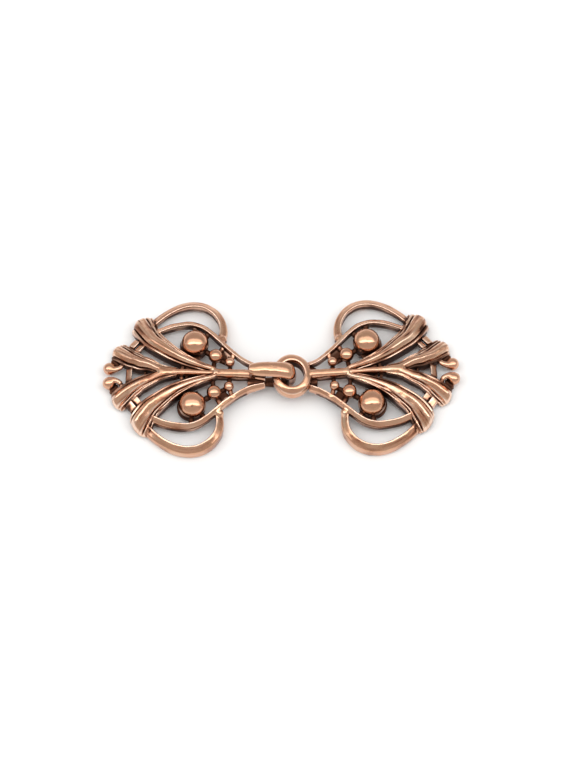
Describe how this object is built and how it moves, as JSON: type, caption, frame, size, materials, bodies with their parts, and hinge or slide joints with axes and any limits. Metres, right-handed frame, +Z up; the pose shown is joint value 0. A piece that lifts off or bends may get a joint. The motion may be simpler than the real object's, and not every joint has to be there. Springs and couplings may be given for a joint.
{
  "type": "two-piece hook-and-eye cardigan clasp",
  "caption": "Openwork fan-shaped cardigan clasp in antiqued copper: a hook half fastened in the eye of its matching half.",
  "frame": {"origin": "middle of the whole outline, on the surface that the clasp lies on", "axes": "+X along the clasp from the hook half to the eye half, +Y across it towards the top of the picture, +Z up from the surface"},
  "size_m": [0.0622, 0.0298, 0.007],
  "materials": {
    "antique_copper": "polished copper plating with black patina in the recesses"
  },
  "bodies": {
    "hook_body": {"hook_half": "antique_copper"},
    "eye_body": {"eye_half": "antique_copper"}
  },
  "joints": [
    {"name": "eye_swing", "type": "hinge", "parent": "hook_body", "child": "eye_body", "pos_m": [0.002, -0.00072, 0.003], "axis": [0, 0, 1], "range_deg": [-80, 69]}
  ]
}
